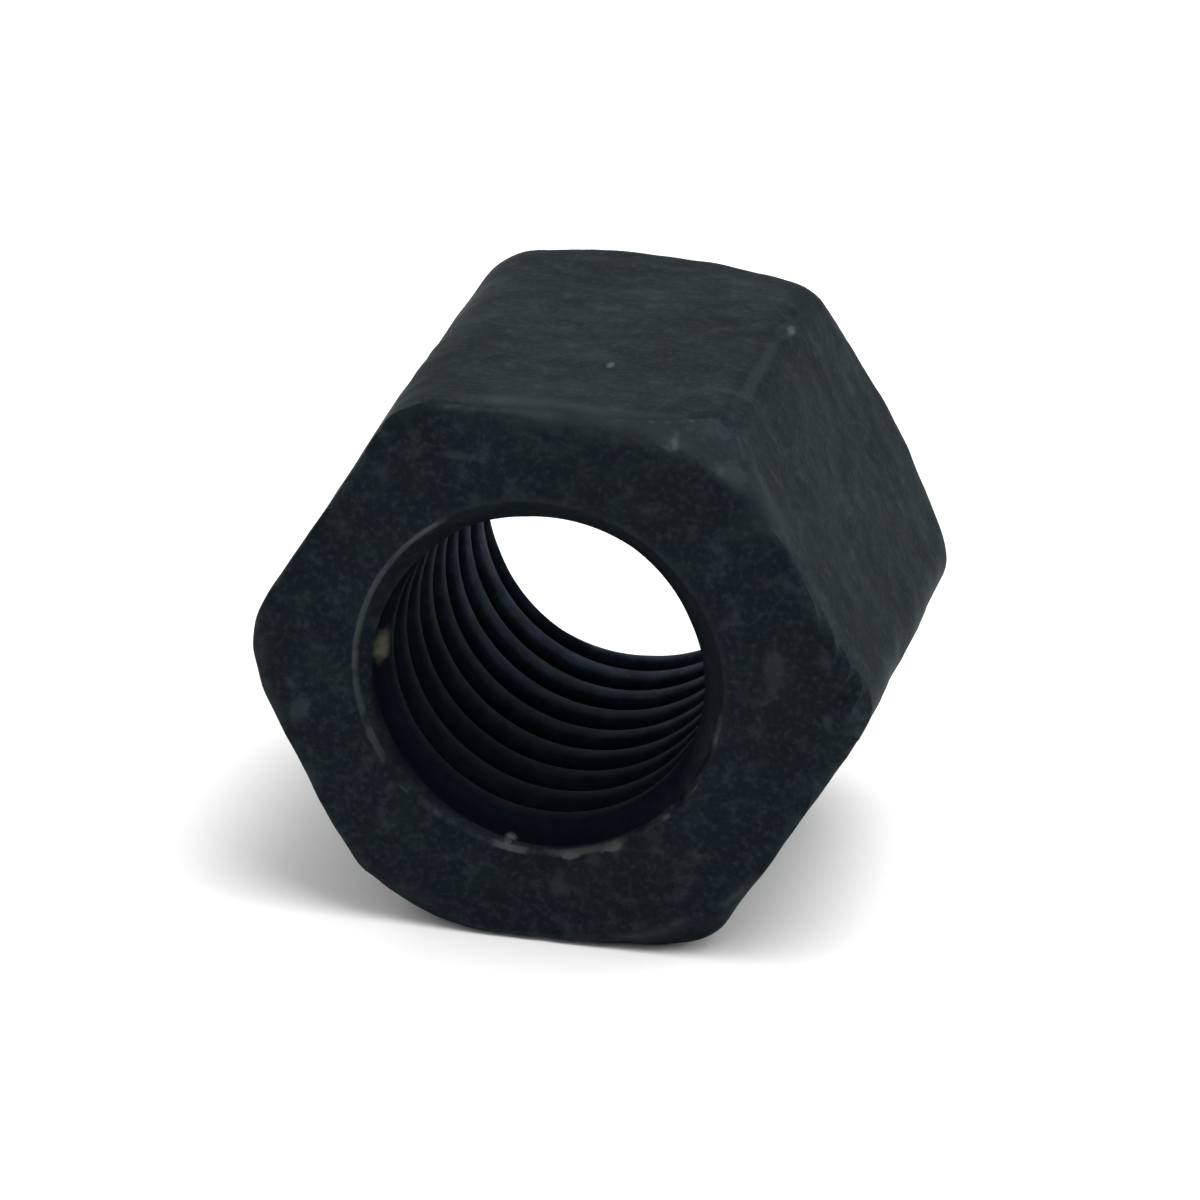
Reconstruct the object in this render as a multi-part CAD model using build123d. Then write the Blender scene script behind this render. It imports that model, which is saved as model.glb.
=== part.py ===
"""Hexagon nut with a real M12 x 1.75 internal thread.

Units are millimetres. The thread axis lies along Y with the lightly chamfered
end towards -Y, the nut stands on one flat, and the origin is on the thread
axis halfway between the two ends. The nut is modelled with its axis along Z
and turned into that frame at the end.
"""
import math
import os

from build123d import *
from build123d.topology import SkipClean

os.makedirs("parts", exist_ok=True)

# Hexagon body
ACROSS_FLATS = 18.0
NUT_LENGTH = 16.2
CORNER_RADIUS = 2.3
CORNER_COUNT = 6

# Outer chamfers: the circle each one leaves on its end face, its slope, and how
# far it bulges from a straight cone
FRONT_FACE_DIAMETER = 18.4
BACK_FACE_DIAMETER = 16.8
OUTER_CHAMFER_ANGLE = 43.0
OUTER_CHAMFER_CROWN = 0.06

# Thread, ISO metric coarse, 60 degree profile. The hole is drilled near the top
# of the minor diameter's tolerance, which leaves wide flat crests
THREAD_DIAMETER = 12.0
DRILLED_DIAMETER = 10.44
THREAD_PITCH = 1.75
THREAD_START_ANGLE = 150.0
FLANK_ANGLE = 30.0
ROOT_FLAT = THREAD_PITCH / 8.0
CUTTER_TURNS = 12
CUTTER_OVERRUN = 0.25

# Countersink at each mouth of the thread
MOUTH_DIAMETER = 12.1
MOUTH_HALF_ANGLE = 45.0

# The bore wall is made in quarters, so that each piece of thread crest is a
# quarter of a turn long
BORE_SECTORS = 4

# Derived sizes
HALF_LENGTH = NUT_LENGTH / 2.0
CORNER_REACH = ACROSS_FLATS / 2.0 / math.cos(math.pi / CORNER_COUNT)
ENVELOPE_RADIUS = CORNER_REACH + 1.0
ROOT_RADIUS = THREAD_DIAMETER / 2.0
CREST_RADIUS = DRILLED_DIAMETER / 2.0
MOUTH_DEPTH = (MOUTH_DIAMETER / 2.0 - CREST_RADIUS) / math.tan(math.radians(MOUTH_HALF_ANGLE))


def hexagon_prism():
    """Return the plain hexagon bar with its long corners rounded."""
    turn = 2.0 * math.pi / CORNER_COUNT
    corners = [
        (CORNER_REACH * math.cos(i * turn), CORNER_REACH * math.sin(i * turn))
        for i in range(CORNER_COUNT)
    ]
    outline = make_face(Polyline(*corners, close=True))
    outline = fillet(outline.vertices(), CORNER_RADIUS)
    return extrude(outline, HALF_LENGTH, both=True)


def crowned_line(inner, outer, end):
    """Return a slightly bulged line between two points of the profile near one end of the nut."""
    run = outer[0] - inner[0]
    rise = outer[1] - inner[1]
    length = math.hypot(run, rise)
    middle = (
        (inner[0] + outer[0]) / 2.0 + OUTER_CHAMFER_CROWN * abs(rise) / length,
        (inner[1] + outer[1]) / 2.0 + OUTER_CHAMFER_CROWN * end * run / length,
    )
    return ThreePointArc(inner, middle, outer)


def chamfer_envelope():
    """Return the turned solid whose two ends chamfer the hexagon."""
    slope = math.tan(math.radians(OUTER_CHAMFER_ANGLE))
    front_radius = FRONT_FACE_DIAMETER / 2.0
    back_radius = BACK_FACE_DIAMETER / 2.0
    front_shoulder = HALF_LENGTH - (ENVELOPE_RADIUS - front_radius) * slope
    back_shoulder = -HALF_LENGTH + (ENVELOPE_RADIUS - back_radius) * slope
    edges = [
        Line((0.0, -HALF_LENGTH), (back_radius, -HALF_LENGTH)),
        crowned_line((back_radius, -HALF_LENGTH), (ENVELOPE_RADIUS, back_shoulder), -1.0),
        Line((ENVELOPE_RADIUS, back_shoulder), (ENVELOPE_RADIUS, front_shoulder)),
        crowned_line((front_radius, HALF_LENGTH), (ENVELOPE_RADIUS, front_shoulder), 1.0),
        Line((front_radius, HALF_LENGTH), (0.0, HALF_LENGTH)),
        Line((0.0, HALF_LENGTH), (0.0, -HALF_LENGTH)),
    ]
    return revolve(Plane.XZ * make_face(edges), Axis.Z)


def bore_sector(index):
    """Return one sector of the round bar that opens the bore."""
    sector_angle = 360.0 / BORE_SECTORS
    height = NUT_LENGTH + 2.0 * CUTTER_OVERRUN
    on_axis = (Align.NONE, Align.NONE, Align.CENTER)
    sector = Cylinder(CREST_RADIUS, height, arc_size=sector_angle, align=on_axis)
    return Rot(0, 0, index * sector_angle) * sector


def mouth_cone():
    """Return the cone that countersinks the +Z mouth of the thread."""
    half_angle = math.radians(MOUTH_HALF_ANGLE)
    height = MOUTH_DEPTH + CUTTER_OVERRUN
    top_radius = MOUTH_DIAMETER / 2.0 + CUTTER_OVERRUN * math.tan(half_angle)
    cone = Cone(CREST_RADIUS, top_radius, height)
    return Pos(0, 0, HALF_LENGTH - MOUTH_DEPTH + height / 2.0) * cone


def thread_cutter(turn):
    """Return the solid that cuts one full turn of the thread groove, counted from the middle."""
    start = (turn - CUTTER_TURNS / 2.0) * THREAD_PITCH
    path = Helix(THREAD_PITCH, THREAD_PITCH, CREST_RADIUS, center=(0.0, 0.0, start))
    inner_radius = CREST_RADIUS - CUTTER_OVERRUN
    half_root = ROOT_FLAT / 2.0
    half_mouth = half_root + (ROOT_RADIUS - inner_radius) * math.tan(math.radians(FLANK_ANGLE))
    section = Plane.XZ * Pos(0, start) * Polyline(
        (inner_radius, -half_mouth),
        (ROOT_RADIUS, -half_root),
        (ROOT_RADIUS, half_root),
        (inner_radius, half_mouth),
        close=True,
    )
    groove = sweep(make_face(section), path=path, is_frenet=True)
    return Rot(0, 0, THREAD_START_ANGLE) * groove


def hex_nut():
    """Return the finished nut with its thread axis along Z."""
    body = hexagon_prism() & chamfer_envelope()
    with SkipClean():
        for index in range(BORE_SECTORS):
            body = body - bore_sector(index)
        body = body - mouth_cone()
        body = body - Rot(180, 0, 0) * mouth_cone()
        for turn in range(CUTTER_TURNS):
            body = body - thread_cutter(turn)
    return body


def main():
    """Build the nut, turn its axis from Z to Y and write it out."""
    nut = Rot(90, 0, 0) * hex_nut()
    solid = nut.solid()
    print("volume_mm3", round(solid.volume, 2), "valid", solid.is_valid)
    print("faces", len(solid.faces()), "solids", len(nut.solids()))
    print("box", solid.bounding_box())
    export_step(solid, "parts/hex_nut.step")


main()
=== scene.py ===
"""Looks for a tall forged hexagon nut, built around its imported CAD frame.

The nut is modelled in millimetres with its thread axis along Z and its lightly
chamfered end up, then turned and scaled into the frame: metres, thread axis
along Y, that end towards -Y.
"""

import logging
import math
from dataclasses import dataclass, field
from enum import Enum

import bmesh
import bpy
from mathutils import Euler, Matrix, Vector, noise

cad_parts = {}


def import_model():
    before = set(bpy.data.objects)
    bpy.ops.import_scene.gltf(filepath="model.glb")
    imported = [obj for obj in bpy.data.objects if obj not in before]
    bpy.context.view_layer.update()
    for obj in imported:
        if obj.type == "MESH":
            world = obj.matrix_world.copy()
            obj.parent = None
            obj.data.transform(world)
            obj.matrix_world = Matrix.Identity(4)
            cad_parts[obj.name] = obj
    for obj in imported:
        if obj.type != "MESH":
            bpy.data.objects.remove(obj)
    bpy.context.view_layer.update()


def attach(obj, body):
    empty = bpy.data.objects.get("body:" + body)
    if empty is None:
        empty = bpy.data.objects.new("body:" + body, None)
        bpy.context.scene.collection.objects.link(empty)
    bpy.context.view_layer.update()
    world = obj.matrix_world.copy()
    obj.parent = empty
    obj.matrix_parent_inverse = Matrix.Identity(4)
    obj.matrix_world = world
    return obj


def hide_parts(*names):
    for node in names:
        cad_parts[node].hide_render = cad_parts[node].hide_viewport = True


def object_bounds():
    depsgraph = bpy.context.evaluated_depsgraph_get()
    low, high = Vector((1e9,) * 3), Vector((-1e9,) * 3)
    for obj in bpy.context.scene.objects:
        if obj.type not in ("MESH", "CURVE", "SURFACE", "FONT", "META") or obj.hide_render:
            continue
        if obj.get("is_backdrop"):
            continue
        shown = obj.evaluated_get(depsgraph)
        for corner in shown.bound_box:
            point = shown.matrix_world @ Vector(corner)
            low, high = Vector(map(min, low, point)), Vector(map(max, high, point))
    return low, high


LOG = logging.getLogger("hex_nut")
MM = 0.001
FULL_TURN = 2.0 * math.pi
MERGE_GAP = 1e-4
JOIN_GAP = 1e-3
MASKS = ("wear_and_crest_light", "bore_shade", "shine", "ring", "upper_rim_light")
Band = tuple[float, float]
Arc = tuple[float, float, float, float]


def linear(hex_colour: str) -> tuple[float, float, float, float]:
    """Turn an sRGB hex colour into Blender's linear colour.

    Args:
        hex_colour: Six hex digits, with or without a leading hash.

    Returns:
        Linear red, green, blue and an alpha of 1.
    """
    digits = hex_colour.lstrip("#")
    channels = [int(digits[i:i + 2], 16) / 255.0 for i in (0, 2, 4)]
    lit = [c / 12.92 if c <= 0.04045 else ((c + 0.055) / 1.055) ** 2.4 for c in channels]
    return (lit[0], lit[1], lit[2], 1.0)


def ease(value: float, low: float, high: float) -> float:
    """Return 0 below low, 1 above high and a smooth blend between.

    Args:
        value: The number to grade.
        low: Where the blend starts.
        high: Where the blend ends.

    Returns:
        A number from 0 to 1.
    """
    share = min(max((value - low) / (high - low), 0.0), 1.0)
    return share * share * (3.0 - 2.0 * share)


def within(value: float, arc: Arc) -> float:
    """Return 1 between the middle two numbers of an arc, fading to 0 at the outer two.

    Args:
        value: The number to grade.
        arc: Where the fade in starts and ends, and where the fade out starts and ends.

    Returns:
        A number from 0 to 1.
    """
    start, full, fade, stop = arc
    return ease(value, start, full) * ease(-value, -stop, -fade)


class End(Enum):
    """The two ends of the nut, as the sign of Z while it is modelled."""

    FRONT = 1.0
    BACK = -1.0


@dataclass(frozen=True)
class Corner:
    """One long corner of the hexagon.

    Attributes:
        angle: Its direction from the thread axis, in degrees.
        radius: How round the forging left it, in millimetres.
    """

    angle: float
    radius: float


@dataclass(frozen=True)
class NutSizes:
    """Sizes of the nut in millimetres and degrees."""

    across_flats: float = 18.0
    length: float = 16.2
    front_circle: float = 18.4
    back_circle: float = 16.8
    chamfer_angle: float = 43.0
    thread_diameter: float = 12.0
    drilled_diameter: float = 10.44
    pitch: float = 1.75
    start_angle: float = 150.0
    mouth_diameter: float = 12.1
    columns: int = 288

    @property
    def half_length(self) -> float:
        """Half the length along the thread axis."""
        return self.length / 2.0

    @property
    def mouth_radius(self) -> float:
        """Radius of the countersink where it meets the end face."""
        return self.mouth_diameter / 2.0

    @property
    def root_radius(self) -> float:
        """Radius at the bottom of the thread groove."""
        return self.thread_diameter / 2.0

    @property
    def crest_radius(self) -> float:
        """Radius at the top of the thread ridge."""
        return self.drilled_diameter / 2.0


@dataclass(frozen=True)
class Facet:
    """A flat the forging left across an edge.

    Attributes:
        direction: The way it faces, of length 1.
        reach: Its distance from the middle of the nut, in millimetres.
    """

    direction: tuple[float, float, float]
    reach: float

    def depth(self, point: Vector) -> float:
        """Return how far a point is beyond the facet."""
        return point.dot(Vector(self.direction)) - self.reach


@dataclass
class ForgedBody:
    """The outside of the nut: a turned blank pressed into a soft-edged hexagon."""

    sizes: NutSizes
    centre: Vector = field(default_factory=lambda: Vector((0.46, 0.0, 0.0)))
    corners: tuple[Corner, ...] = (
        Corner(0.0, 1.5), Corner(60.0, 1.4), Corner(120.0, 2.2),
        Corner(180.0, 3.4), Corner(240.0, 4.2), Corner(300.0, 1.8),
    )
    front_edge: tuple[float, ...] = (
        10.5, 10.1, 9.5, 9.4, 9.3, 8.85, 8.5, 9.2, 10.2, 9.9, 9.6, 9.45,
        9.0, 8.9, 8.95, 8.85, 8.85, 8.95, 9.1, 9.1, 9.3, 9.45, 9.7, 10.2,
    )
    corner_facet: Facet = Facet((0.363, 0.713, 0.601), 12.283)
    edge_softness: float = 0.08
    edge_reach: float = 0.11
    row_height: float = 0.22
    presses: int = 4
    ripple_size: float = 1.1
    ripple_height: float = 0.14
    swell_size: float = 3.2
    swell_height: float = 0.09
    dent_size: float = 0.9
    dent_height: float = 0.035
    rolled_arc: Arc = (30.0, 45.0, 98.0, 112.0)
    countersink_arc: Arc = (-35.0, -5.0, 115.0, 130.0)
    # Painted light on the front edge's upper arc: its strength on the countersink and on the corner facet.
    countersink_light: float = 0.5
    facet_light: float = 0.6
    gradient_step: float = 0.01
    least_slope: float = 0.25
    rim_calm: float = 0.6

    def blank(self) -> bmesh.types.BMesh:
        """Turn the round blank that the hexagon is pressed from.

        Returns:
            An open barrel from one mouth rim round the outside to the other.
        """
        s = self.sizes
        reach = s.across_flats / math.sqrt(3.0)
        slope = math.tan(math.radians(s.chamfer_angle))
        front, back = s.front_circle / 2.0, s.back_circle / 2.0
        outline = [
            (s.mouth_radius, s.half_length),
            (front, s.half_length),
            (reach, s.half_length - (reach - front) * slope),
            (reach, -s.half_length + (reach - back) * slope),
            (back, -s.half_length),
            (s.mouth_radius, -s.half_length),
        ]
        bm = bmesh.new()
        knots = [bm.verts.new((r, 0.0, z)) for r, z in outline]
        for edge in [bm.edges.new(pair) for pair in zip(knots, knots[1:])]:
            cuts = round(edge.calc_length() / self.row_height) - 1
            bmesh.ops.subdivide_edges(bm, edges=[edge], cuts=cuts)
        bmesh.ops.spin(
            bm, geom=bm.verts[:] + bm.edges[:], axis=(0, 0, 1), cent=(0, 0, 0),
            angle=FULL_TURN, steps=s.columns, use_merge=True,
        )
        return bm

    def hexagon_depth(self, point: Vector) -> float:
        """Measure how far a point is outside the rounded hexagon.

        Args:
            point: A point in millimetres.

        Returns:
            The distance, negative inside.
        """
        flat = Vector((point.x - self.centre.x, point.y - self.centre.y))
        turn = math.radians(60.0)
        index = int((math.atan2(flat.y, flat.x) / turn + 6.5) % 6)
        corner = self.corners[index]
        along = Vector((math.cos(math.radians(corner.angle)), math.sin(math.radians(corner.angle))))
        across = abs(flat.x * along.y - flat.y * along.x)
        out = flat.dot(along)
        lean = turn / 2.0
        inner = self.sizes.across_flats / 2.0 - corner.radius
        to_tip = out - inner / math.cos(lean)
        wall = out * math.cos(lean) + across * math.sin(lean) - inner
        if across * math.cos(lean) < to_tip * math.sin(lean):
            return math.hypot(across, to_tip) - corner.radius
        return wall - corner.radius

    def front_circle(self, point: Vector) -> float:
        """Read the front chamfer's radius in a point's direction.

        Args:
            point: A point in millimetres.

        Returns:
            The radius where the front face ends, in millimetres.
        """
        count = len(self.front_edge)
        place = math.atan2(point.y, point.x) / FULL_TURN * count
        index = math.floor(place)
        share = ease(place - index, 0.0, 1.0)
        low, high = self.front_edge[index % count], self.front_edge[(index + 1) % count]
        ripple = noise.noise(Vector((point.x, point.y, 0.0)) / self.ripple_size) * self.ripple_height
        return low + (high - low) * share + ripple

    def walls(self, point: Vector) -> list[float]:
        """List how far a point is outside each of the nut's outer surfaces.

        Args:
            point: A point in millimetres.

        Returns:
            Distances to the hexagon, the end faces, their chamfers and the corner facet.
        """
        s = self.sizes
        lean = math.radians(s.chamfer_angle)
        radius = math.hypot(point.x, point.y)
        found = [self.hexagon_depth(point), self.corner_facet.depth(point)]
        for end, circle in ((End.FRONT, self.front_circle(point)), (End.BACK, s.back_circle / 2.0)):
            above = point.z * end.value - s.half_length
            found.append(above)
            found.append((radius - circle) * math.sin(lean) + above * math.cos(lean))
        return found

    def depth(self, point: Vector) -> float:
        """Measure how far a point is outside the soft-edged nut, bore ignored.

        Args:
            point: A point in millimetres.

        Returns:
            The distance, negative inside.
        """
        walls = self.walls(point)
        peak = max(walls)
        total = sum(math.exp((wall - peak) / self.edge_softness) for wall in walls)
        return peak + self.edge_softness * math.log(total)

    def edge_wear(self, point: Vector) -> float:
        """Grade how near a point is to an outer edge, from 0 on a flat to 1 on the edge."""
        walls = sorted(self.walls(point), reverse=True)
        return math.exp((walls[1] - walls[0]) / self.edge_reach)

    def upper_rim_light(self, point: Vector) -> float:
        """Grade the painted light on the upper arc of the front edge, from 0 to 1.

        Args:
            point: A point in millimetres.

        Returns:
            1 on the rolled edge and on the countersink's upper side, 0 elsewhere.
        """
        radius = math.hypot(point.x, point.y)
        turn = math.degrees(math.atan2(point.y, point.x))
        front = ease(point.z, self.sizes.half_length - 1.4, self.sizes.half_length - 1.0)
        # The countersink's upper side gets painted light against the shade of the downward-facing cone.
        if radius < self.sizes.mouth_radius + 0.02:
            return self.countersink_light * front * within(turn, self.countersink_arc)
        off_facet = ease(-self.corner_facet.depth(point), 0.05, 0.15)
        beside = self.facet_light + (1.0 - self.facet_light) * off_facet
        rolled = ease(radius - self.front_circle(point), -0.04, 0.06)
        return front * within(turn, self.rolled_arc) * beside * rolled

    def unevenness(self, point: Vector) -> float:
        """Return how far the forging stands out of true at a point, in millimetres."""
        swell = noise.noise(point / self.swell_size) * self.swell_height
        dents = noise.noise(point / self.dent_size) * self.dent_height
        return swell + dents

    def slope(self, point: Vector) -> Vector:
        """Measure which way, and how steeply, depth grows at a point.

        Args:
            point: A point in millimetres.

        Returns:
            The gradient of the depth.
        """
        step = self.gradient_step
        here = self.depth(point)
        nudges = (Vector((step, 0, 0)), Vector((0, step, 0)), Vector((0, 0, step)))
        return Vector([(self.depth(point + nudge) - here) / step for nudge in nudges])

    def press(self, bm: bmesh.types.BMesh) -> None:
        """Press every point of the blank onto the soft-edged, uneven hexagon.

        Args:
            bm: The turned blank.
        """
        rim = self.sizes.mouth_radius + MERGE_GAP
        for vert in bm.verts:
            if math.hypot(vert.co.x, vert.co.y) < rim:
                continue
            for _ in range(self.presses):
                slope = self.slope(vert.co)
                vert.co -= slope * (self.depth(vert.co) / max(slope.length_squared, self.least_slope))
            calm = ease(math.hypot(vert.co.x, vert.co.y), rim, rim + self.rim_calm)
            vert.co += self.slope(vert.co).normalized() * self.unevenness(vert.co) * calm


@dataclass
class TappedBore:
    """The countersunk hole with its helical thread."""

    sizes: NutSizes
    turns: int = 12
    crest_width: float = 0.84
    crest_softness: float = 0.07
    root_softness: float = 0.06
    root_easing: float = 0.1
    column_slack: float = 0.02

    def profile(self) -> list[tuple[float, float]]:
        """Return one pitch of the thread, ridge middle to ridge middle, as radius and height."""
        s = self.sizes
        crest, root = s.crest_radius, s.root_radius - self.root_easing
        lean = math.tan(math.radians(30.0))
        half_crest = self.crest_width / 2.0
        half_root = s.pitch / 2.0 - half_crest - (root - crest) * lean
        soft, deep = self.crest_softness, self.root_softness
        side = [
            (crest, s.pitch / 2.0),
            (crest, s.pitch / 2.0 - half_crest + soft),
            (crest + soft, s.pitch / 2.0 - half_crest - soft * lean),
            ((crest + root) / 2.0, (s.pitch / 2.0 - half_crest + half_root) / 2.0),
            (root - deep, half_root + deep * lean),
            (root, half_root - deep / 2.0),
        ]
        return [(r, -z) for r, z in side] + [(root, 0.0)] + [(r, z) for r, z in reversed(side)]

    def screw(self) -> bmesh.types.BMesh:
        """Screw the thread profile up the hole.

        Returns:
            The thread's skin, longer than the nut at both ends.
        """
        s = self.sizes
        bm = bmesh.new()
        knots = [bm.verts.new((r, 0.0, z)) for r, z in self.profile()]
        edges = [bm.edges.new(pair) for pair in zip(knots, knots[1:])]
        bmesh.ops.spin(
            bm, geom=knots + edges, axis=(0, 0, 1), cent=(0, 0, 0),
            dvec=(0, 0, s.pitch / s.columns), angle=FULL_TURN, steps=s.columns,
        )
        one_turn = bm.verts[:] + bm.edges[:] + bm.faces[:]
        for turn in range(1, self.turns):
            copy = bmesh.ops.duplicate(bm, geom=one_turn)["geom"]
            moved = [v for v in copy if isinstance(v, bmesh.types.BMVert)]
            bmesh.ops.translate(bm, verts=moved, vec=(0, 0, turn * s.pitch))
        bmesh.ops.translate(bm, verts=bm.verts, vec=(0, 0, -self.turns / 2.0 * s.pitch))
        bmesh.ops.remove_doubles(bm, verts=bm.verts, dist=MERGE_GAP)
        turn = Matrix.Rotation(math.radians(s.start_angle), 3, "Z")
        bmesh.ops.rotate(bm, verts=bm.verts, cent=(0, 0, 0), matrix=turn)
        return bm

    def countersink(self, bm: bmesh.types.BMesh) -> None:
        """Open both mouths to their cones and cut the skin off level with the end faces.

        Args:
            bm: The thread's skin.
        """
        s = self.sizes
        for vert in bm.verts:
            radius = math.hypot(vert.co.x, vert.co.y)
            cone = s.mouth_radius - s.half_length + abs(vert.co.z)
            if cone > radius:
                vert.co.xy *= cone / radius
        for end in End:
            bmesh.ops.bisect_plane(
                bm, geom=bm.verts[:] + bm.edges[:] + bm.faces[:], dist=1e-5,
                plane_co=(0, 0, end.value * s.half_length), plane_no=(0, 0, end.value),
                clear_outer=True,
            )
            self.even_rim(bm, end)

    def even_rim(self, bm: bmesh.types.BMesh, end: End) -> None:
        """Leave one rim point for each column of the body, so that the two meet.

        Args:
            bm: The thread's skin.
            end: Which rim.
        """
        s = self.sizes
        column = FULL_TURN / s.columns
        rim = [v for v in bm.verts if abs(v.co.z - end.value * s.half_length) < MERGE_GAP]
        keepers: dict[int, bmesh.types.BMVert] = {}
        strays: list[tuple[bmesh.types.BMVert, int]] = []
        for vert in rim:
            place = math.atan2(vert.co.y, vert.co.x) / column
            index = round(place) % s.columns
            if abs(place - round(place)) < self.column_slack and index not in keepers:
                keepers[index] = vert
            else:
                strays.append((vert, index))
        bmesh.ops.weld_verts(bm, targetmap={v: keepers[i] for v, i in strays if i in keepers})
        for index, vert in keepers.items():
            angle = index * column
            vert.co.x = s.mouth_radius * math.cos(angle)
            vert.co.y = s.mouth_radius * math.sin(angle)


@dataclass(frozen=True)
class Burr:
    """A torn spot round the front mouth; the same shape lays out the arcs of painted highlight along its
    edge.

    Attributes:
        angle: Its direction from the thread axis, in degrees.
        spread: Half its length round the mouth, in degrees.
        radius: Its distance from the axis, in millimetres.
        width: Half its width across the rim, in millimetres.
        height: How far it stands up, in millimetres.
        shine: How bare the steel is there, from 0 to 1; on a highlight arc, how strong the painted
            highlight is.
    """

    angle: float
    spread: float
    radius: float
    width: float
    height: float
    shine: float

    def strength(self, point: Vector) -> float:
        """Return how strongly a point belongs to the burr, from 0 to 1."""
        turn = math.degrees(math.atan2(point.y, point.x)) - self.angle
        away = (turn + 180.0) % 360.0 - 180.0
        off = math.hypot(point.x, point.y) - self.radius
        return math.exp(-((away / self.spread) ** 2) - (off / self.width) ** 2)


@dataclass
class FrontRim:
    """The ragged front mouth: burrs left by the countersink and the tap, and a painted highlight along its
    edge.
    """

    sizes: NutSizes
    burrs: tuple[Burr, ...] = (
        Burr(118.0, 4.5, 5.85, 0.16, 0.02, 0.9), Burr(206.0, 3.5, 6.02, 0.1, 0.03, 0.5),
        Burr(216.0, 3.0, 5.98, 0.1, 0.04, 0.6), Burr(226.0, 4.0, 6.0, 0.12, 0.04, 0.6),
        Burr(262.0, 3.0, 5.85, 0.1, 0.03, 0.75), Burr(269.0, 1.6, 5.45, 0.14, 0.0, 0.9),
        Burr(282.0, 4.0, 6.03, 0.09, 0.05, 0.8), Burr(295.0, 5.0, 6.0, 0.1, 0.05, 0.8),
        Burr(316.0, 3.0, 6.0, 0.12, 0.03, 0.5), Burr(330.0, 4.0, 6.05, 0.14, 0.05, 0.55),
        Burr(347.0, 3.0, 5.95, 0.12, 0.02, 0.75), Burr(354.0, 2.0, 5.95, 0.1, 0.02, 0.6),
    )
    # Arcs of painted highlight along the mouth's edge.
    highlight_arcs: tuple[Burr, ...] = (
        Burr(128.0, 10.0, 6.0, 1.0, 0.0, 0.8), Burr(150.0, 16.0, 6.0, 1.0, 0.0, 0.55),
        Burr(180.0, 20.0, 6.0, 1.0, 0.0, 0.6), Burr(210.0, 14.0, 6.0, 1.0, 0.0, 0.45),
        Burr(235.0, 8.0, 6.0, 1.0, 0.0, 0.35), Burr(262.0, 8.0, 6.0, 1.0, 0.0, 0.6),
        Burr(286.0, 14.0, 6.0, 1.0, 0.0, 0.7), Burr(312.0, 8.0, 6.0, 1.0, 0.0, 0.4),
        Burr(330.0, 6.0, 6.0, 1.0, 0.0, 0.55), Burr(349.0, 9.0, 6.0, 1.0, 0.0, 0.65),
    )
    burr_depth: float = 0.7
    burr_reach: float = 7.2
    tears_per_mm: float = 2.6

    def ring(self, point: Vector) -> float:
        """Return how strong the painted highlight on the mouth's edge is beside a point, from 0 to 1."""
        near = ease(point.z, self.sizes.half_length - 0.6, self.sizes.half_length - 0.2)
        return near * min(sum(spot.strength(point) * spot.shine for spot in self.highlight_arcs), 1.0)

    def shine(self, point: Vector) -> float:
        """Return how bare the steel is at a point of the front rim, from 0 to 1."""
        near = ease(point.z, self.sizes.half_length - 1.0, self.sizes.half_length - 0.5)
        return near * min(sum(burr.strength(point) * burr.shine for burr in self.burrs), 1.0)

    def raise_burrs(self, bm: bmesh.types.BMesh) -> None:
        """Stand the burrs up from the front face and its countersink.

        Args:
            bm: The joined nut, in millimetres.
        """
        for vert in bm.verts:
            deep = vert.co.z < self.sizes.half_length - self.burr_depth
            if deep or math.hypot(vert.co.x, vert.co.y) > self.burr_reach:
                continue
            torn = 0.5 + 0.5 * noise.noise(vert.co * self.tears_per_mm)
            vert.co.z += torn * sum(burr.strength(vert.co) * burr.height for burr in self.burrs)


@dataclass(frozen=True)
class Chip:
    """A spot where the black skin is rubbed or flaked away.

    Attributes:
        centre: Its middle in the frame, in millimetres.
        size: Its half extents along X, Y and Z, in millimetres.
    """

    centre: tuple[float, float, float]
    size: tuple[float, float, float]


def add_node(
    tree: bpy.types.NodeTree,
    kind: str,
    settings: dict[str, object] | None = None,
    inputs: dict[str | int, object] | None = None,
) -> bpy.types.Node:
    """Add a shader node, with its settings, values and links.

    Args:
        tree: The node tree it joins.
        kind: The node's type name without its ShaderNode prefix.
        settings: Attributes to set on the node.
        inputs: For each input's name or number, a value or the socket that feeds it.

    Returns:
        The new node.
    """
    node = tree.nodes.new("ShaderNode" + kind)
    for name, value in (settings or {}).items():
        setattr(node, name, value)
    for key, value in (inputs or {}).items():
        if isinstance(value, bpy.types.NodeSocket):
            tree.links.new(value, node.inputs[key])
        else:
            node.inputs[key].default_value = value
    return node


def maths(
    tree: bpy.types.NodeTree, operation: str, one: object, other: object = 0.0,
) -> bpy.types.NodeSocket:
    """Work out one sum on numbers or sockets.

    Args:
        tree: The material's node tree.
        operation: What to do, such as ADD, MULTIPLY or MAXIMUM.
        one: The first number or socket.
        other: The second number or socket.

    Returns:
        The result's socket.
    """
    return add_node(tree, "Math", {"operation": operation}, {0: one, 1: other}).outputs[0]


def grade(tree: bpy.types.NodeTree, value: bpy.types.NodeSocket, band: Band) -> bpy.types.NodeSocket:
    """Grade a value smoothly across a band.

    Args:
        tree: The material's node tree.
        value: The value to grade.
        band: Where the grade is 0 and where it reaches 1.

    Returns:
        A socket from 0 to 1.
    """
    return add_node(tree, "MapRange", {"interpolation_type": "SMOOTHSTEP"}, {
        "Value": value, "From Min": band[0], "From Max": band[1],
    }).outputs["Result"]


def blend(tree: bpy.types.NodeTree, share: object, under: object, over: object) -> bpy.types.NodeSocket:
    """Lay one colour over another.

    Args:
        tree: The material's node tree.
        share: How much of the upper colour shows, from 0 to 1.
        under: The lower colour.
        over: The upper colour.

    Returns:
        The blended colour's socket.
    """
    return add_node(tree, "Mix", {"data_type": "RGBA"}, {0: share, 6: under, 7: over}).outputs[2]


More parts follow.
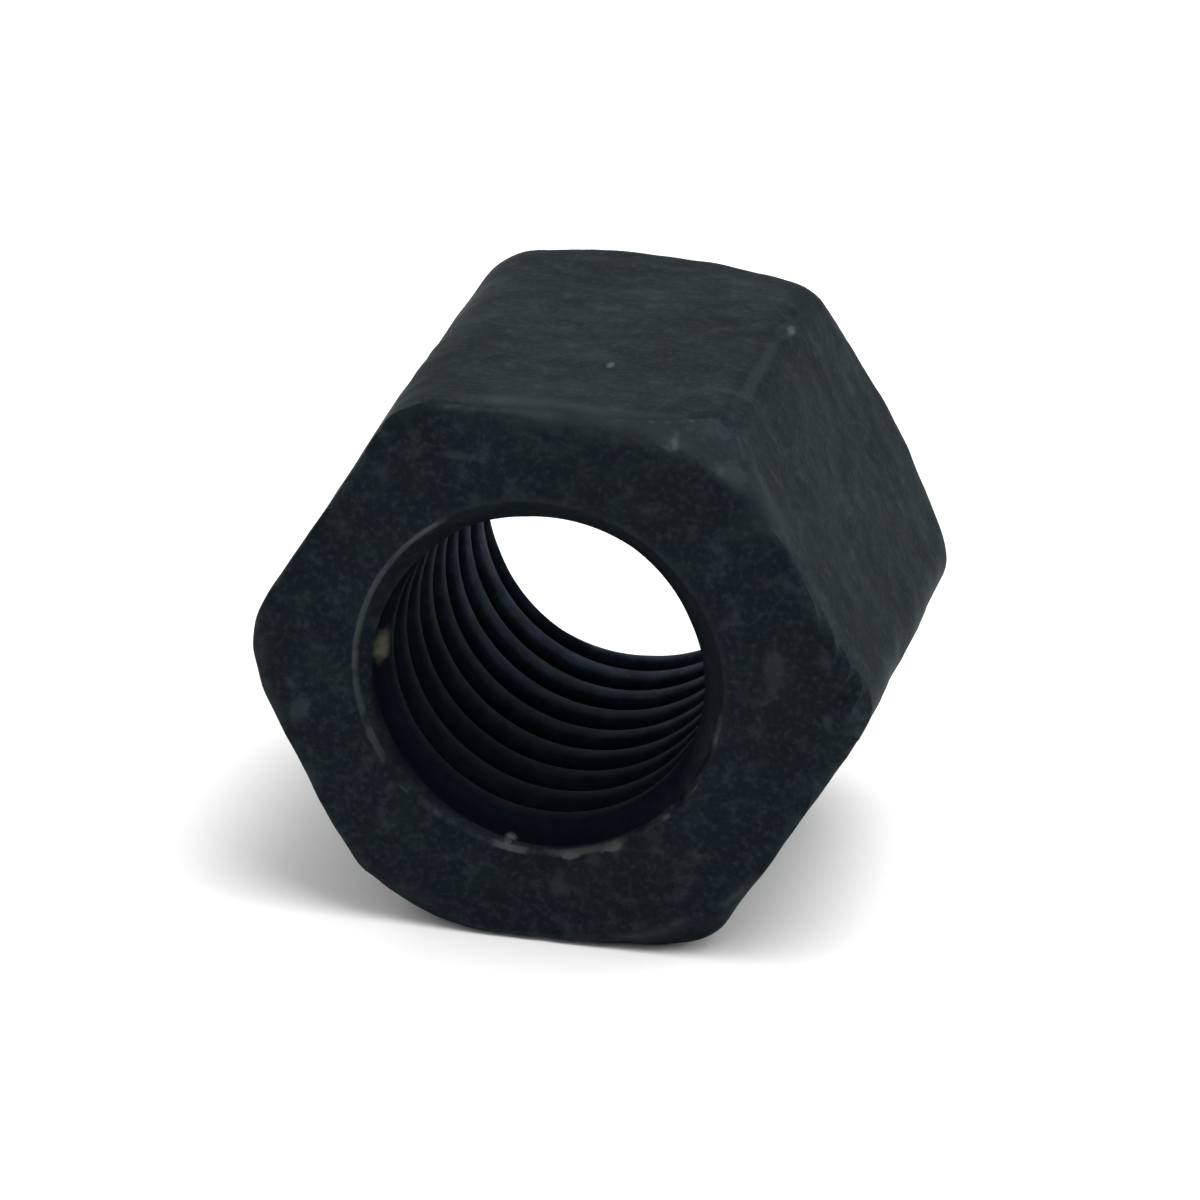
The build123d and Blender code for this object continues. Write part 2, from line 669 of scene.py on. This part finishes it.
@dataclass(frozen=True)
class SkinPattern:
    """What the material reads at each point: its place, the stored masks and four noises.

    Attributes:
        tree: The material's node tree.
        place: Object coordinates.
        wear_and_crest_light: How near an outer edge; in the bore, how strong the painted highlight on a
            thread crest is.
        bore_shade: How far inside the bore, which sets where its shade is painted.
        shine: How bare a burr has left the steel.
        ring: How strong the painted highlight on the mouth's edge is.
        upper_rim_light: How much painted light lies on the upper arc of the front edge and the
            countersink.
        clouds: The widest noise.
        blotches: The next noise down.
        specks: A finer noise.
        grain: The finest noise.
    """

    tree: bpy.types.NodeTree
    place: bpy.types.NodeSocket
    wear_and_crest_light: bpy.types.NodeSocket
    bore_shade: bpy.types.NodeSocket
    shine: bpy.types.NodeSocket
    ring: bpy.types.NodeSocket
    upper_rim_light: bpy.types.NodeSocket
    clouds: bpy.types.NodeSocket
    blotches: bpy.types.NodeSocket
    specks: bpy.types.NodeSocket
    grain: bpy.types.NodeSocket


@dataclass(frozen=True)
class Noise:
    """One noise of the finish.

    Attributes:
        size: How wide its clouds are, in millimetres.
        detail: How many finer layers it holds.
    """

    size: float
    detail: float


@dataclass(frozen=True)
class BlackenedSteel:
    """Black oxide over forged steel: a thin dark magnetite skin, satin and mottled.

    The skin gives the eye a near-black metal with a cold blue cast, warmer and
    green-grey clouds where it grew thicker, pale specks and rubbed edges. Each
    band says between which values of its noise or mask an effect fades in.
    """

    name: str = "black_oxide_on_forged_steel"
    skin: str = "#151C22"
    warm_skin: str = "#191D20"
    green_skin: str = "#1A2222"
    speck: str = "#2D3438"
    rubbed: str = "#363D3F"
    # Painted light on the upper arc of the front edge and the countersink.
    painted_rim_light: str = "#262C2E"
    bare: str = "#474D4C"
    tan: str = "#49483F"
    pale: str = "#2D3436"
    # Painted shade for the bore.
    bore_painted_shade: str = "#02060D"
    # Painted highlight on the thread crests.
    crest_highlight: str = "#283342"
    edge_tint: str = "#D2D6D4"
    clouds: Noise = Noise(3.4, 4.0)
    blotches: Noise = Noise(1.3, 3.0)
    specks: Noise = Noise(0.75, 3.0)
    grain: Noise = Noise(0.22, 2.0)
    noise_roughness: float = 0.6
    warm_band: Band = (0.42, 0.66)
    green_band: Band = (0.5, 0.7)
    speck_band: Band = (0.48, 0.9)
    crystal_band: Band = (0.45, 0.75)
    crystal_strength: float = 0.45
    rub_band: Band = (0.38, 0.62)
    rub_strength: float = 0.7
    rim_light_strength: float = 0.8
    torn_band: Band = (0.35, 0.7)
    torn_strength: float = 0.7
    torn_least: float = 0.45
    bore_cover: float = 0.95
    burr_band: Band = (0.8, 1.15)
    line_band: Band = (0.7, 1.1)
    line_radius: float = 5.96
    line_width: float = 0.12
    line_core: float = 0.4
    edge_band: Band = (0.55, 0.95)
    break_band: Band = (0.38, 0.6)
    edge_highlight_strength: float = 0.5
    pale_strength: float = 0.7
    chip_raggedness: float = 1.6
    chip_band: Band = (0.35, -0.5)
    roughness: float = 0.54
    roughness_spread: float = 0.14
    roughness_band: Band = (0.3, 0.7)
    bore_roughness: float = 0.2
    specular_level: float = 0.04
    speck_relief: float = 0.6
    grain_relief: float = 0.25
    bump_strength: float = 0.55
    bump_height: float = 0.06
    tan_chip: Chip = Chip((-5.36, -6.9, 0.1), (0.4, 0.55, 0.6))
    pale_patches: tuple[Chip, ...] = (
        Chip((7.55, -8.1, 1.3), (0.4, 0.6, 1.0)), Chip((-7.75, -8.1, -2.0), (0.35, 0.6, 0.5)),
        Chip((9.4, -8.1, -0.3), (0.2, 0.5, 0.4)), Chip((0.9, -8.1, -7.0), (0.4, 0.6, 0.5)),
        # The patch at (5.55, -1.5, 8.85), a long streak on the upper right long edge, is a painted
        # highlight.
        Chip((-2.8, -8.1, 7.3), (0.8, 0.6, 0.2)), Chip((5.55, -1.5, 8.85), (0.3, 5.0, 0.35)),
    )
    # Painted highlight on the edges round the upper right front corner.
    highlight_corner: Chip = Chip((4.3, -7.6, 8.5), (2.4, 1.8, 1.6))
    bare_chips: tuple[Chip, ...] = (
        Chip((1.0, -3.25, 9.0), (0.14, 0.3, 0.3)), Chip((5.75, 2.4, 8.8), (0.13, 0.4, 0.26)),
    )

    def build(self) -> bpy.types.Material:
        """Make the material.

        Returns:
            The finished material.
        """
        material = bpy.data.materials.new(self.name)
        material.use_nodes = True
        tree = material.node_tree
        shader = tree.nodes["Principled BSDF"]
        pattern = self.read(tree)
        colour = self.rub(pattern, self.oxide(pattern))
        colour = self.shade_bore(pattern, colour)
        colour = self.flake(pattern, colour)
        tree.links.new(colour, shader.inputs["Base Color"])
        tree.links.new(self.dullness(pattern), shader.inputs["Roughness"])
        # Metallic falls to 0 in the bore, which keeps its painted shade from mirroring the white room.
        metal = add_node(tree, "MapRange", None, {"Value": pattern.bore_shade, "To Min": 1.0, "To Max": 0.0})
        tree.links.new(metal.outputs["Result"], shader.inputs["Metallic"])
        shader.inputs["Specular Tint"].default_value = linear(self.edge_tint)
        shader.inputs["Specular IOR Level"].default_value = self.specular_level
        tree.links.new(self.relief(pattern), shader.inputs["Normal"])
        return material

    def read(self, tree: bpy.types.NodeTree) -> SkinPattern:
        """Read the place, the masks stored on the mesh and the noises.

        Args:
            tree: The material's node tree.

        Returns:
            The sockets that the finish is mixed from.
        """
        place = add_node(tree, "TexCoord").outputs["Object"]
        masks = [
            add_node(tree, "Attribute", {"attribute_name": name}).outputs["Fac"] for name in MASKS
        ]
        noises = [
            add_node(tree, "TexNoise", None, {
                "Vector": place, "Scale": 1.0 / (kind.size * MM), "Detail": kind.detail,
                "Roughness": self.noise_roughness,
            }).outputs["Fac"]
            for kind in (self.clouds, self.blotches, self.specks, self.grain)
        ]
        return SkinPattern(tree, place, *masks, *noises)

    def oxide(self, pattern: SkinPattern) -> bpy.types.NodeSocket:
        """Mix the mottled skin.

        Args:
            pattern: The sockets to mix from.

        Returns:
            Its colour.
        """
        tree = pattern.tree
        warm = grade(tree, pattern.clouds, self.warm_band)
        green = grade(tree, pattern.blotches, self.green_band)
        specks = grade(tree, pattern.specks, self.speck_band)
        crystals = grade(tree, pattern.grain, self.crystal_band)
        crystals = maths(tree, "MULTIPLY", crystals, self.crystal_strength)
        colour = blend(tree, warm, linear(self.skin), linear(self.warm_skin))
        colour = blend(tree, green, colour, linear(self.green_skin))
        colour = blend(tree, specks, colour, linear(self.speck))
        return blend(tree, crystals, colour, linear(self.speck))

    def rub(self, pattern: SkinPattern, colour: bpy.types.NodeSocket) -> bpy.types.NodeSocket:
        """Lighten the rubbed outer edges, and paint light on the upper arc of the front edge and the
        countersink.

        Args:
            pattern: The sockets to mix from.
            colour: The colour so far.

        Returns:
            The colour with both.
        """
        tree = pattern.tree
        rubbed = maths(tree, "MULTIPLY", pattern.wear_and_crest_light, grade(tree, pattern.blotches, self.rub_band))
        rubbed = maths(tree, "MULTIPLY", rubbed, self.rub_strength)
        colour = blend(tree, rubbed, colour, linear(self.rubbed))
        # Painted light on the upper arc of the front edge and the countersink.
        painted_rim_light = maths(tree, "MULTIPLY", pattern.upper_rim_light, self.rim_light_strength)
        return blend(tree, painted_rim_light, colour, linear(self.painted_rim_light))

    def shade_bore(self, pattern: SkinPattern, colour: bpy.types.NodeSocket) -> bpy.types.NodeSocket:
        """Paint shade into the bore, with a painted highlight on its thread crests, torn by noise.

        Args:
            pattern: The sockets to mix from.
            colour: The colour so far.

        Returns:
            The colour with the bore's.
        """
        tree = pattern.tree
        torn = maths(tree, "MULTIPLY", grade(tree, pattern.specks, self.torn_band), self.torn_strength)
        torn = maths(tree, "ADD", torn, self.torn_least)
        crest = maths(tree, "MULTIPLY", pattern.wear_and_crest_light, torn)
        bore = blend(tree, crest, linear(self.bore_painted_shade), linear(self.crest_highlight))
        # The bore's painted shade covers the skin almost fully.
        return blend(tree, maths(tree, "MULTIPLY", pattern.bore_shade, self.bore_cover), colour, bore)

    def flake(self, pattern: SkinPattern, colour: bpy.types.NodeSocket) -> bpy.types.NodeSocket:
        """Add the pale patches, the bare steel, the painted highlights on the mouth's edge and round the
        upper right front corner, and the tan chip.

        Args:
            pattern: The sockets to mix from.
            colour: The colour so far.

        Returns:
            The finished colour.
        """
        tree = pattern.tree
        patches = [self.chip(pattern, pattern.specks, chip) for chip in self.pale_patches]
        pale = maths(tree, "MULTIPLY", self.greatest(tree, patches), self.pale_strength)
        colour = blend(tree, pale, colour, linear(self.pale))
        burrs = grade(tree, maths(tree, "ADD", pattern.shine, pattern.specks), self.burr_band)
        chips = [self.chip(pattern, pattern.specks, chip) for chip in self.bare_chips]
        # The bare steel colour also paints the highlights on the mouth's edge and round the upper right
        # front corner.
        bare = self.greatest(tree, [burrs, self.rim_line(pattern), self.highlight_edges(pattern)] + chips)
        colour = blend(tree, bare, colour, linear(self.bare))
        return blend(tree, self.chip(pattern, pattern.specks, self.tan_chip), colour, linear(self.tan))

    def rim_line(self, pattern: SkinPattern) -> bpy.types.NodeSocket:
        """Mask the thin broken line of painted highlight round the front mouth.

        Args:
            pattern: The sockets to mix from.

        Returns:
            A socket that is 1 on the line and 0 away from it.
        """
        tree = pattern.tree
        across = (1.0, 0.0, 1.0)
        flat = add_node(tree, "VectorMath", {"operation": "MULTIPLY"}, {0: pattern.place, 1: across})
        radius = add_node(tree, "VectorMath", {"operation": "LENGTH"}, {0: flat.outputs[0]})
        away = maths(tree, "SUBTRACT", radius.outputs["Value"], self.line_radius * MM)
        band = (self.line_width * MM, self.line_core * self.line_width * MM)
        line = grade(tree, maths(tree, "ABSOLUTE", away), band)
        broken = grade(tree, maths(tree, "ADD", pattern.ring, pattern.specks), self.line_band)
        return maths(tree, "MULTIPLY", maths(tree, "MULTIPLY", pattern.ring, line), broken)

    def highlight_edges(self, pattern: SkinPattern) -> bpy.types.NodeSocket:
        """Mask the broken painted highlight on the edges round the upper right front corner.

        Args:
            pattern: The sockets to mix from.

        Returns:
            A socket that is above 0 on those edges only.
        """
        tree = pattern.tree
        sharp = grade(tree, pattern.wear_and_crest_light, self.edge_band)
        edges = maths(tree, "MULTIPLY", sharp, grade(tree, pattern.specks, self.break_band))
        near = self.chip(pattern, pattern.blotches, self.highlight_corner)
        return maths(tree, "MULTIPLY", maths(tree, "MULTIPLY", edges, near), self.edge_highlight_strength)

    def dullness(self, pattern: SkinPattern) -> bpy.types.NodeSocket:
        """Work out the roughness, which follows the clouds and rises in the bore.

        Args:
            pattern: The sockets to mix from.

        Returns:
            The roughness.
        """
        tree = pattern.tree
        skin = add_node(tree, "MapRange", None, {
            "Value": pattern.clouds,
            "From Min": self.roughness_band[0], "From Max": self.roughness_band[1],
            "To Min": self.roughness, "To Max": self.roughness + self.roughness_spread,
        })
        bore = maths(tree, "MULTIPLY", pattern.bore_shade, self.bore_roughness)
        return maths(tree, "ADD", skin.outputs["Result"], bore)

    def relief(self, pattern: SkinPattern) -> bpy.types.NodeSocket:
        """Raise the specks and the grain, too fine for the mesh to hold.

        Args:
            pattern: The sockets to mix from.

        Returns:
            The bumped normal.
        """
        tree = pattern.tree
        specks = maths(tree, "MULTIPLY", pattern.specks, self.speck_relief)
        grain = maths(tree, "MULTIPLY", pattern.grain, self.grain_relief)
        bump = add_node(tree, "Bump", None, {
            "Height": maths(tree, "ADD", specks, grain),
            "Strength": self.bump_strength, "Distance": self.bump_height * MM,
        })
        return bump.outputs["Normal"]

    def chip(
        self, pattern: SkinPattern, ragged: bpy.types.NodeSocket, chip: Chip,
    ) -> bpy.types.NodeSocket:
        """Mask one chip with a ragged outline.

        Args:
            pattern: The sockets to mix from.
            ragged: A noise that breaks the outline.
            chip: The chip.

        Returns:
            A socket that is 1 inside the chip and 0 outside.
        """
        tree = pattern.tree
        middle = tuple(c * MM for c in chip.centre)
        spans = tuple(c * MM for c in chip.size)
        shifted = add_node(tree, "VectorMath", {"operation": "SUBTRACT"}, {0: pattern.place, 1: middle})
        scaled = add_node(tree, "VectorMath", {"operation": "DIVIDE"}, {0: shifted.outputs[0], 1: spans})
        away = add_node(tree, "VectorMath", {"operation": "LENGTH"}, {0: scaled.outputs[0]})
        broken = add_node(tree, "Math", {"operation": "MULTIPLY_ADD"}, {
            0: ragged, 1: -self.chip_raggedness, 2: away.outputs["Value"],
        })
        return grade(tree, broken.outputs[0], self.chip_band)

    @staticmethod
    def greatest(tree: bpy.types.NodeTree, values: list[bpy.types.NodeSocket]) -> bpy.types.NodeSocket:
        """Return the greatest of several values.

        Args:
            tree: The material's node tree.
            values: At least one socket.

        Returns:
            The greatest value's socket.
        """
        best = values[0]
        for value in values[1:]:
            best = maths(tree, "MAXIMUM", best, value)
        return best


@dataclass
class HexNut:
    """The whole nut, one forged and tapped piece of steel."""

    sizes: NutSizes
    finish: BlackenedSteel
    sharp_angle: float = 50.0

    def build(self) -> bpy.types.Object:
        """Model the nut, put it in the frame and dress it.

        Returns:
            The finished object.
        """
        body = ForgedBody(self.sizes)
        outside = body.blank()
        body.press(outside)
        bore = TappedBore(self.sizes)
        skin = bore.screw()
        bore.countersink(skin)
        rim = FrontRim(self.sizes)
        joined = self.join(outside, skin)
        self.grade_skin(joined, body, rim)
        rim.raise_burrs(joined)
        mesh = bpy.data.meshes.new("forged_nut")
        self.settle(joined).to_mesh(mesh)
        joined.free()
        mesh.set_sharp_from_angle(angle=math.radians(self.sharp_angle))
        nut = bpy.data.objects.new("forged_nut", mesh)
        bpy.context.scene.collection.objects.link(nut)
        mesh.materials.append(self.finish.build())
        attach(nut, "root")
        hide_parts("hex_nut")
        LOG.info("forged_nut: %d faces", len(mesh.polygons))
        return nut

    def grade_skin(self, bm: bmesh.types.BMesh, body: ForgedBody, rim: FrontRim) -> None:
        """Store on every point how worn and how bare the steel is, and where shade and light are painted.

        Args:
            bm: The joined nut, in millimetres.
            body: The outside, which knows where its edges are and where light is painted on its front
                edge.
            rim: The front mouth, which knows where it is bare and where its edge has a painted highlight.
        """
        s = self.sizes
        layers = {name: bm.verts.layers.float.new(name) for name in MASKS}
        for vert in bm.verts:
            radius = math.hypot(vert.co.x, vert.co.y)
            cone = s.mouth_radius - s.half_length + abs(vert.co.z)
            crest = ease(max(cone, s.crest_radius) - radius, -0.4, -0.05)
            # The painted shade starts nearer the mouth in the lower half of the bore.
            lower = ease(-vert.co.y / radius, 0.1, 0.7)
            below = ease(s.half_length - abs(vert.co.z), 0.7 - 0.6 * lower, 1.1 - 0.6 * lower)
            # The painted highlight on the crests grows brighter towards the back, where light comes in.
            crest_back_light = 0.04 + 0.96 * ease(-vert.co.z, -s.half_length, 0.7 * s.half_length)
            vert[layers["bore_shade"]] = below if radius < s.mouth_radius - 0.02 else 0.0
            vert[layers["wear_and_crest_light"]] = crest * crest_back_light if radius < s.mouth_radius else body.edge_wear(vert.co)
            vert[layers["shine"]] = rim.shine(vert.co)
            vert[layers["ring"]] = rim.ring(vert.co)
            vert[layers["upper_rim_light"]] = body.upper_rim_light(vert.co)

    def join(self, outside: bmesh.types.BMesh, skin: bmesh.types.BMesh) -> bmesh.types.BMesh:
        """Join the body and the bore into one closed skin.

        Args:
            outside: The pressed body.
            skin: The trimmed bore.

        Returns:
            The closed mesh, in millimetres.
        """
        carrier = bpy.data.meshes.new("bore_painted_shade")
        skin.to_mesh(carrier)
        skin.free()
        outside.from_mesh(carrier)
        bpy.data.meshes.remove(carrier)
        bmesh.ops.remove_doubles(outside, verts=outside.verts, dist=JOIN_GAP)
        bmesh.ops.recalc_face_normals(outside, faces=outside.faces)
        return outside

    def settle(self, bm: bmesh.types.BMesh) -> bmesh.types.BMesh:
        """Turn and scale the joined nut into the frame.

        Args:
            bm: The joined nut, in millimetres, thread axis along Z.

        Returns:
            The same mesh in metres, thread axis along Y.
        """
        upright = Matrix.Rotation(math.pi / 2.0, 3, "X")
        bmesh.ops.rotate(bm, verts=bm.verts, cent=(0, 0, 0), matrix=upright)
        bmesh.ops.scale(bm, verts=bm.verts, vec=(MM, MM, MM))
        for face in bm.faces:
            face.smooth = True
        open_edges = sum(1 for edge in bm.edges if not edge.is_manifold)
        LOG.info("open edges: %d, volume mm3: %.1f", open_edges, bm.calc_volume() / MM ** 3)
        return bm


@dataclass(frozen=True)
class Softbox:
    """A large soft lamp aimed at the nut.

    Attributes:
        name: What it is called.
        place: Where it hangs, in metres.
        size: The length of its sides, in metres.
        power: Its output in watts.
    """

    name: str
    place: tuple[float, float, float]
    size: float
    power: float

    def hang(self) -> None:
        """Hang the lamp and turn it towards the nut."""
        data = bpy.data.lights.new(self.name, "AREA")
        data.shape = "SQUARE"
        data.size = self.size
        data.energy = self.power
        lamp = bpy.data.objects.new(self.name, data)
        lamp.location = self.place
        lamp.rotation_euler = (-Vector(self.place)).to_track_quat("-Z", "Y").to_euler()
        bpy.context.scene.collection.objects.link(lamp)


@dataclass
class Studio:
    """A pale floor and plain soft lights."""

    floor_level: float
    boxes: tuple[Softbox, ...] = (
        Softbox("overhead_softbox", (0.14, -0.1, 0.5), 0.35, 2.3),
        Softbox("right_softbox", (0.45, 0.25, 0.2), 0.3, 0.7),
        Softbox("back_softbox", (-0.1, 0.45, 0.28), 0.3, 0.33),
    )
    paper: str = "#F4F4F4"
    paper_roughness: float = 0.9
    floor_reach: float = 3.0
    front_light: float = 0.45
    fade_band: Band = (-0.9, 0.3)

    def build(self) -> None:
        """Lay the floor, fill the room with light and hang the lamps."""
        self.lay_floor()
        self.light_room()
        bpy.context.scene.view_settings.view_transform = "Standard"
        for box in self.boxes:
            box.hang()

    def lay_floor(self) -> None:
        """Lay uncoated white paper: matt, so that it shows only the nut's soft shadow."""
        bm = bmesh.new()
        bmesh.ops.create_grid(bm, x_segments=1, y_segments=1, size=self.floor_reach)
        bmesh.ops.translate(bm, verts=bm.verts, vec=(0, 0, self.floor_level))
        mesh = bpy.data.meshes.new("floor")
        bm.to_mesh(mesh)
        bm.free()
        floor = bpy.data.objects.new("floor", mesh)
        bpy.context.scene.collection.objects.link(floor)
        material = bpy.data.materials.new("white_paper")
        material.use_nodes = True
        shader = material.node_tree.nodes["Principled BSDF"]
        shader.inputs["Base Color"].default_value = linear(self.paper)
        shader.inputs["Roughness"].default_value = self.paper_roughness
        mesh.materials.append(material)
        floor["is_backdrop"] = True

    def light_room(self) -> None:
        """Fill the room with white light that is weaker from the front."""
        world = bpy.data.worlds.new("soft_room")
        world.use_nodes = True
        tree = world.node_tree
        heading = add_node(tree, "SeparateXYZ", None, {0: add_node(tree, "TexCoord").outputs["Generated"]})
        fade = add_node(tree, "MapRange", {"interpolation_type": "SMOOTHSTEP"}, {
            "Value": heading.outputs["Y"],
            "From Min": self.fade_band[0], "From Max": self.fade_band[1],
            "To Min": self.front_light, "To Max": 1.0,
        })
        tree.nodes["Background"].inputs["Color"].default_value = (1.0, 1.0, 1.0, 1.0)
        tree.links.new(fade.outputs["Result"], tree.nodes["Background"].inputs["Strength"])
        bpy.context.scene.world = world


@dataclass(frozen=True)
class Camera:
    """A long-lens camera in front of the nut, above it and to its right."""

    position_mm: tuple[float, float, float] = (53.906, -251.989, 104.305)
    angles: tuple[float, float, float] = (67.8749, -1.7481, 12.7376)
    lens_mm: float = 256.54
    sensor_mm: float = 36.0
    nearest: float = 0.01

    def build(self) -> None:
        """Set up the camera."""
        data = bpy.data.cameras.new("camera")
        data.lens = self.lens_mm
        data.sensor_width = self.sensor_mm
        data.clip_start = self.nearest
        camera = bpy.data.objects.new("camera", data)
        camera.location = Vector(self.position_mm) * MM
        camera.rotation_euler = Euler([math.radians(a) for a in self.angles])
        bpy.context.scene.collection.objects.link(camera)
        bpy.context.scene.camera = camera


def main() -> None:
    """Build the nut and its setting."""
    logging.basicConfig(level=logging.INFO)
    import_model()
    Camera().build()
    HexNut(NutSizes(), BlackenedSteel()).build()
    lowest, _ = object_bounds()
    Studio(floor_level=lowest.z).build()


if __name__ == "__main__":
    main()
